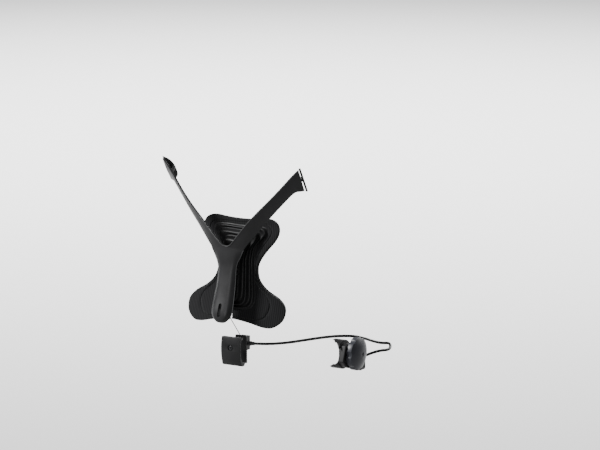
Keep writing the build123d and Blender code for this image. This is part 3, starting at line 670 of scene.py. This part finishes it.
# The cushion: its size inside the pad's outline, its depth, its fineness and how its cloth swells.
CUSHION_FIT, CUSHION_LIFT, CUSHION_DEPTH, CUSHION_VOXEL = 0.97, 0.4, 0.72, 4.5
HELD_DEPTH, CLOTH_PRESSURE, CLOTH_STEPS, MOST_SWELL = 2.4, 4.0, 20, 4.5
# The piping: how far it is drawn in, sideways and in height, and the room round the wire's notch.
PIPING_R, PIPING_FIT, PIPING_LIFT, PIPING_MIDDLE_Z, PIPING_SQUEEZE = 1.1, 0.985, 1.2, 136, 0.014
PIPING_STEPS, PIPING_ROOM, PIPING_BREAK_Z = 3, 1.5, PAD_LOW_Z + 20


def pad_y(x, z):
    """Where the rear face of the carrier's flange lies."""
    middle, half = (PAD_TOP_Z + PAD_LOW_Z) / 2, (PAD_TOP_Z - PAD_LOW_Z) / 2
    lean = PAD_LOW_Y + PAD_LEAN * (z - PAD_LOW_Z)
    belly = PAD_BELLY * (1 - ((z - middle) / half) ** 2)
    share = min(max((z - SWEEP_LOW_Z) / SWEEP_SPAN, 0.0), 1.0)
    return lean + belly + (LOBE_SWEEP_LOW + (LOBE_SWEEP_TOP - LOBE_SWEEP_LOW) * share) * x * x


def curve_through(points, per_span):
    """A smooth closed line through points, as a Catmull-Rom curve."""
    out = []
    count = len(points)
    for k in range(count):
        a, b, c, d = (Vector(points[(k + j) % count]) for j in (-1, 0, 1, 2))
        square, cube = 2 * a - 5 * b + 4 * c - d, 3 * b - a - 3 * c + d
        for step in range(per_span):
            t = step / per_span
            out.append(0.5 * (2 * b + (c - a) * t + square * t**2 + cube * t**3))
    return out


def whole_line(half, per_span):
    """A symmetric closed line (x, z) from its right half, top to bottom."""
    return curve_through(half + [(-x, z) for x, z in reversed(half[1:-1])], per_span)


def closed_outline(half):
    """The whole line again, its points evenly spaced."""
    return evenly(whole_line(half, OUTLINE_STEPS), RING_POINTS)


def ring(line, inset, height):
    """The line moved inwards, at a height behind the flange."""
    return [(*shrunk(line, k, inset), height) for k in range(RING_POINTS)]


def rings_between(outer, inner, steps):
    """Rings that run from one ring to the next, both ends left out."""
    return [
        [tuple(a + (b - a) * step / steps for a, b in zip(p, q)) for p, q in zip(outer, inner)]
        for step in range(1, steps)
    ]


def carrier_rings():
    """The rear face as rings of (x, z, height behind): the flange's, then the spine's."""
    pad, panel, spine = (closed_outline(half) for half in (PAD_OUTLINE, PANEL_OUTLINE, SPINE_OUTLINE))
    rim = [ring(pad, *row) for row in RIM_RINGS]
    groove = [ring(panel, *row) for row in GROOVE_RINGS]
    column = []
    for share, low, high, height in SPINE_RINGS:
        column.append([(*fitted(spine, k, share, low, high), height) for k in range(RING_POINTS)])
    flange = rim + rings_between(rim[-1], groove[0], BORDER_STEPS) + groove
    flange += rings_between(groove[-1], column[0], FIELD_STEPS) + [column[0]]
    return flange, column


def evenly(line, count):
    """The closed line again with its points spaced evenly, from its first point."""
    lengths = [0.0]
    closed = line + [line[0]]
    for a, b in zip(closed, closed[1:]):
        lengths.append(lengths[-1] + (b - a).length)
    out, at = [], 0
    for k in range(count):
        wanted = lengths[-1] * k / count
        while lengths[at + 1] < wanted:
            at += 1
        mix = (wanted - lengths[at]) / (lengths[at + 1] - lengths[at])
        out.append(closed[at].lerp(closed[at + 1], mix))
    return out


def shrunk(line, k, inset):
    """A point of the line moved inwards, square to the line, which runs clockwise."""
    along = line[(k + 1) % len(line)] - line[k - 1]
    moved = line[k] + Vector((along.y, -along.x)).normalized() * inset
    return moved.x, moved.y


def fitted(line, k, share, low, high):
    """A point of the spine's line, narrowed by share and fitted between two heights."""
    stretch = (high - low) / (SPINE_TOP_Z - SPINE_LOW_Z)
    return line[k].x * share, low + (line[k].y - SPINE_LOW_Z) * stretch


def skin(name, rows, slot, closed=False):
    """A sheet through rings on the carrier's rear face, filled in the middle if it is closed."""
    points = [mm(x, pad_y(x, z) - height, z) for row in rows for x, z, height in row]
    faces = []
    for low in range(0, (len(rows) - 1) * RING_POINTS, RING_POINTS):
        for k in range(RING_POINTS):
            a, b = low + k, low + (k + 1) % RING_POINTS
            faces.append((a, b, b + RING_POINTS, a + RING_POINTS))
    if closed:
        inner = (len(rows) - 1) * RING_POINTS
        faces.append(tuple(inner + k for k in range(RING_POINTS)))
    piece = from_faces(name, points, faces)
    smooth(piece)
    return finish_piece(piece, "pad", slot, "pad_carrier")


def make_carrier():
    """The carrier: a flange with a grooved border, a stepped spine behind it and the hinge's barrel."""
    flange, column = carrier_rings()
    edge = [
        [(x, z, FLANGE_LIP - FLANGE) for x, z, _ in flange[2]],
        [(x, z, -FLANGE * 0.75) for x, z, _ in flange[0]],
    ]
    notch_flange(skin("carrier_flange", edge + flange, "pad_fabric").data)
    # the spine and the hinge's barrel take carrier_black, darkened as painted shade behind the stem
    skin("carrier_spine", column, "carrier_black", closed=True)
    reach = pad_y(0, ROCK_Z) - SPINE_RINGS[-1][3] + BARREL_SUNK - ROCK_Y
    barrel = rounded_lug("carrier_barrel", -BARREL_HALF, BARREL_HALF, ROCK_Y, ROCK_Z, BARREL_R, reach, 0.0)
    smooth(barrel, SMOOTH_ANGLE)
    finish_piece(barrel, "pad", "carrier_black", "pad_carrier")


def notch_flange(mesh):
    """Takes the wire's notch out of the flange's lower edge."""
    form = bmesh.new()
    form.from_mesh(mesh)
    half, top = WIRE_NOTCH_HALF * MM, WIRE_NOTCH_Z * MM
    sides = [((half, 0, 0), (1, 0, 0)), ((-half, 0, 0), (-1, 0, 0)), ((0, 0, top), (0, 0, 1))]
    for point, normal in sides:
        whole = form.verts[:] + form.edges[:] + form.faces[:]
        bmesh.ops.bisect_plane(form, geom=whole, plane_co=point, plane_no=normal)
    inside = []
    for face in form.faces:
        centre = face.calc_center_median()
        if abs(centre.x) < half and centre.z < top:
            inside.append(face)
    bmesh.ops.delete(form, geom=inside, context="FACES")
    form.to_mesh(mesh)
    form.free()


def swell(piece):
    """Swells the piece as cloth under pressure, held at its back, by no more than MOST_SWELL."""
    back = piece.vertex_groups.new(name="back")
    rest = [v.co.copy() for v in piece.data.vertices]
    for vertex in piece.data.vertices:
        x, y, z = (c / MM for c in vertex.co)
        if y - (pad_y(x, z) + FLANGE) < HELD_DEPTH:
            back.add([vertex.index], 1.0, "REPLACE")
    cloth = piece.modifiers.new("cloth", "CLOTH")
    cloth.settings.use_pressure = True
    cloth.settings.uniform_pressure_force = CLOTH_PRESSURE
    cloth.settings.vertex_group_mass = "back"
    cloth.settings.effector_weights.gravity = 0.0
    scene = bpy.context.scene
    for step in range(1, CLOTH_STEPS + 1):
        scene.frame_set(step)
    applied(piece)
    scene.frame_set(1)
    piece.vertex_groups.clear()
    most = MOST_SWELL * MM
    for vertex, start in zip(piece.data.vertices, rest):
        move = vertex.co - start
        if move.length > most:
            vertex.co = start + move.normalized() * most


def make_cushion():
    """The padded front: a soft form swollen by cloth, flat where it lies on the carrier."""
    mesh = NODES["pad_cushion"].data.copy()
    mesh.materials.clear()
    piece = new_object("cushion", mesh)
    middle_z = (PAD_TOP_Z + PAD_LOW_Z) / 2
    for vertex in mesh.vertices:
        x, y, z = (c / MM for c in vertex.co)
        depth = y - (pad_y(x, z) + FLANGE)
        x, z = x * CUSHION_FIT, middle_z + (z - middle_z) * CUSHION_FIT
        vertex.co = mm(x, pad_y(x, z) + FLANGE + CUSHION_LIFT + depth * CUSHION_DEPTH, z)
    modifier(piece, "REMESH", mode="VOXEL", voxel_size=CUSHION_VOXEL * MM, use_smooth_shade=True)
    applied(piece)
    swell(piece)
    modifier(piece, "SUBSURF", levels=1, render_levels=1)
    applied(piece)
    smooth(piece)
    finish_piece(piece, "pad", "pad_fabric", "pad_cushion")


def piping_point(x, z):
    drawn_in = (PIPING_MIDDLE_Z - z) * PIPING_SQUEEZE
    return x * PIPING_FIT, pad_y(x, z) + FLANGE + PIPING_LIFT, z + drawn_in


def make_piping():
    """The welt round the cushion, where its two covers are sewn, broken at the wire's notch."""
    line = []
    for x, z in whole_line(PAD_OUTLINE, PIPING_STEPS):
        if abs(x) > WIRE_NOTCH_HALF + PIPING_ROOM or z > PIPING_BREAK_Z:
            line.append((x, z))
    start = next(k for k, (x, z) in enumerate(line) if z < PIPING_BREAK_Z and x * line[k - 1][0] < 0)
    route = [piping_point(x, z) for x, z in line[start:] + line[:start]]
    piece = tube("piping", route, PIPING_R, order=4, along=12, around=3)
    piece.data.materials.append(MATERIALS["pad_fabric"])
    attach(piece, "pad")


# ---------------------------------------------------------------- cable
# The sheath's control points, from the front guide to the actuator's case.
SHEATH_ROUTE = [
    (20.0, 47.0, 1.0), (46.0, 48.0, 2.5), (84.0, 56.0, 8.0), (119.0, 73.0, 15.0), (150.0, 91.0, 20.0),
    (180.0, 110.0, 20.5), (190.0, 136.0, 12.0), (189.0, 159.0, 3.5), (199.0, 177.5, -3.5),
    (216.5, 180.0, -1.5), (224.5, 163.5, -9.5), (216.0, 144.0, -8.0), (204.5, 131.0, -11.5),
    (199.5, 116.0, -14.0),
]
SHEATH_R = 2.4
# The wire runs from just outside its nipple to inside the guide's mouth.
NIPPLE, MOUTH, WIRE_OUT, WIRE_INSIDE, WIRE_R = (0.0, -22.5, 79.0), (0.0, 39.0, 10.0), 3, 5.0, 0.7


def make_cable():
    sheath = tube("sheath", SHEATH_ROUTE, SHEATH_R)
    finish_piece(sheath, "mounts", "sheath_black", "cable_sheath")
    start, mouth = Vector(NIPPLE), Vector(MOUTH)
    along = (mouth - start).normalized()
    route = [start + along * WIRE_OUT, start.lerp(mouth, 0.5), mouth + along * WIRE_INSIDE]
    wire = tube("wire", route, WIRE_R)
    finish_piece(wire, "wire", "wire_steel", "pull_wire")


# ---------------------------------------------------------------- mouldings and metal
# CAD nodes that are shown with softened edges: (body, edge width).
SOFTENED = {
    "centre_bracket": ("mounts", 0.6), "bracket_clip": ("mounts", 0.5), "actuator_saddle": ("mounts", 0.6),
    "actuator_case": ("mounts", 0.5), "case_cover": ("mounts", 0.3), "tip_shoe_right": ("mounts", 0.5),
    "tip_shoe_left": ("mounts", 0.5), "dial_knob": ("dial", 0.8), "stem_anchor": ("yoke", 0.4),
}


def slot_of(node):
    for part in frame["record"]["subparts"]:
        if part["node"] == node:
            return part["material_slot"]
    return "moulded_black"


def dress_rest():
    """Softens the larger mouldings and gives every CAD node its material."""
    for node, (body, width) in SOFTENED.items():
        finish_piece(softened(node, width), body, slot_of(node), node)
    for node, piece in NODES.items():
        material = MATERIALS[slot_of(node)]
        piece.data.materials.clear()
        piece.data.materials.append(material)


MATERIALS = make_materials()
make_camera()
make_cable()
make_yoke()
make_beads()
make_carrier()
make_cushion()
make_piping()
dress_rest()
make_studio()
